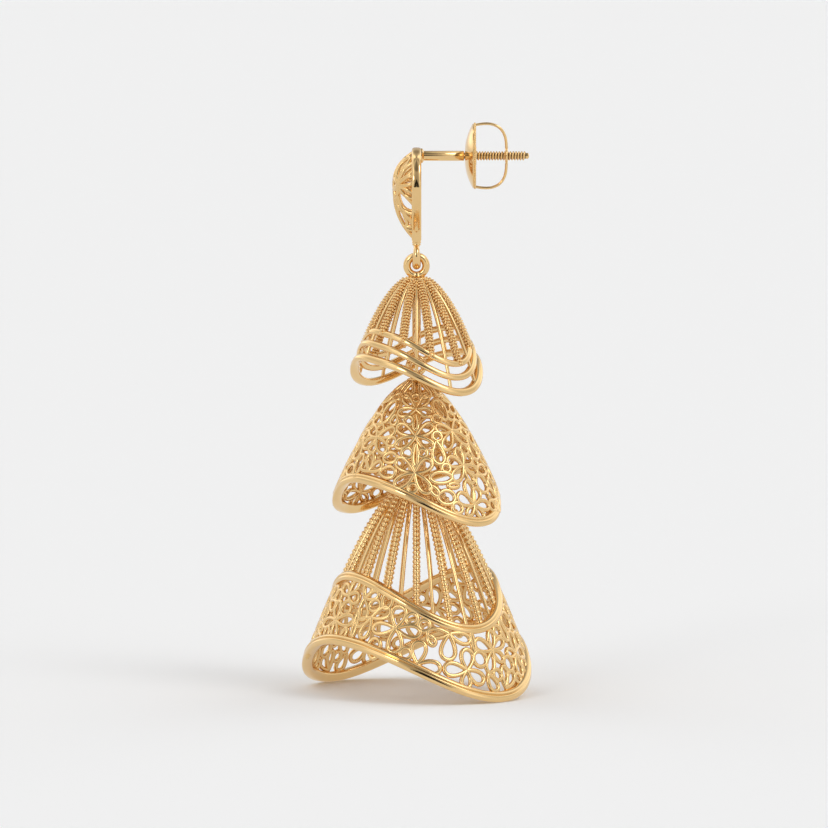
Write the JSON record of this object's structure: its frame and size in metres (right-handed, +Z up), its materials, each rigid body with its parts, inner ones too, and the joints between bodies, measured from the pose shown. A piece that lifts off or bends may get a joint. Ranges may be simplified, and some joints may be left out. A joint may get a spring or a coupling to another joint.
{
  "type": "jhumka earring",
  "caption": "Gold drop earring: a pierced stud with a threaded post and screw back, and flaring filigree bells that hang one inside another on wire eyes.",
  "frame": {"origin": "on the post's axis at the back face of the stud, where the ear lobe starts", "axes": "+Z up, -Y out of the front of the stud, +Y along the post to its tip"},
  "size_m": [0.0232, 0.0229, 0.0572],
  "materials": {
    "gold": "polished 18 karat yellow gold"
  },
  "bodies": {
    "stud_body": {"stud": "gold"},
    "screw_back_body": {"screw_back": "gold"},
    "top_body": {"top_bell": "gold"},
    "middle_body": {"middle_bell": "gold"},
    "bottom_body": {"bottom_bell": "gold"}
  },
  "joints": [
    {"name": "screw_back_travel", "type": "slide", "parent": "stud_body", "child": "screw_back_body", "axis": [0, 1, 0], "range_m": [0, 0.007]},
    {"name": "drop_swing", "type": "hinge", "parent": "stud_body", "child": "top_body", "pos_m": [0, -0.00048, -0.01085], "axis": [1, 0, 0], "range_deg": [-45, 45]},
    {"name": "middle_swing", "type": "hinge", "parent": "top_body", "child": "middle_body", "pos_m": [0, -0.00048, -0.02085], "axis": [1, 0, 0], "range_deg": [-20, 20]},
    {"name": "bottom_swing", "type": "hinge", "parent": "middle_body", "child": "bottom_body", "pos_m": [0, -0.00048, -0.0309], "axis": [1, 0, 0], "range_deg": [-20, 20]}
  ]
}
